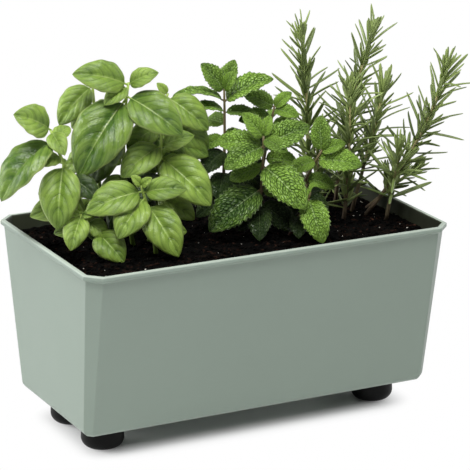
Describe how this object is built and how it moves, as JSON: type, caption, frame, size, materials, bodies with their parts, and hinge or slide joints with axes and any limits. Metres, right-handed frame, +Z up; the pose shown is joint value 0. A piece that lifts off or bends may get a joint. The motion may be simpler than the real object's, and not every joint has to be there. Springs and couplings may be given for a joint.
{
  "type": "indoor herb planter",
  "caption": "Drafted planter trough with cut corners and a turned-out rim on round rubber feet, with soil, basil, mint and rosemary, and a drain bung that pulls out.",
  "frame": {"origin": "middle of the footprint, on the surface that the feet stand on", "axes": "+X along the trough to its right end, +Y to its back, +Z up"},
  "size_m": [0.4128, 0.21, 0.3502],
  "materials": {
    "sage_plastic": "satin moulded sage green",
    "foot_rubber": "matte black",
    "zinc_steel": "zinc plated",
    "bung_rubber": "matte dark grey",
    "grate_plastic": "matte black",
    "fleece": "grey non-woven felt",
    "potting_mix": "moist crumbly peat and bark",
    "root_mat": "soil bound by fine roots",
    "basil_leaf": "smooth, slightly glossy leaf",
    "mint_leaf": "wrinkled matte leaf",
    "rosemary_leaf": "grey-green needles on a tan woody stem"
  },
  "bodies": {
    "planter": {"trough": "sage_plastic", "foot_washers": "zinc_steel", "foot_screws": "zinc_steel", "drain_grate": "grate_plastic", "filter_fleece": "fleece", "potting_soil": "potting_mix", "basil_root_ball": "root_mat", "mint_root_ball": "root_mat", "rosemary_root_ball": "root_mat", "foot_front_left": "foot_rubber", "foot_front_right": "foot_rubber", "foot_back_left": "foot_rubber", "foot_back_right": "foot_rubber", "basil_shoot_1": "basil_leaf", "basil_shoot_2": "basil_leaf", "basil_shoot_3": "basil_leaf", "basil_shoot_4": "basil_leaf", "basil_shoot_5": "basil_leaf", "basil_shoot_6": "basil_leaf", "basil_shoot_7": "basil_leaf", "mint_shoot_1": "mint_leaf", "mint_shoot_2": "mint_leaf", "mint_shoot_3": "mint_leaf", "mint_shoot_4": "mint_leaf", "mint_shoot_5": "mint_leaf", "rosemary_sprig_1": "rosemary_leaf", "rosemary_sprig_2": "rosemary_leaf", "rosemary_sprig_3": "rosemary_leaf", "rosemary_sprig_4": "rosemary_leaf", "rosemary_sprig_5": "rosemary_leaf", "rosemary_sprig_6": "rosemary_leaf", "rosemary_sprig_7": "rosemary_leaf"},
    "bung": {"drain_bung": "bung_rubber"}
  },
  "joints": [
    {"name": "bung_pull", "type": "slide", "parent": "planter", "child": "bung", "axis": [0, 0, -1], "range_m": [0, 0.011]}
  ]
}
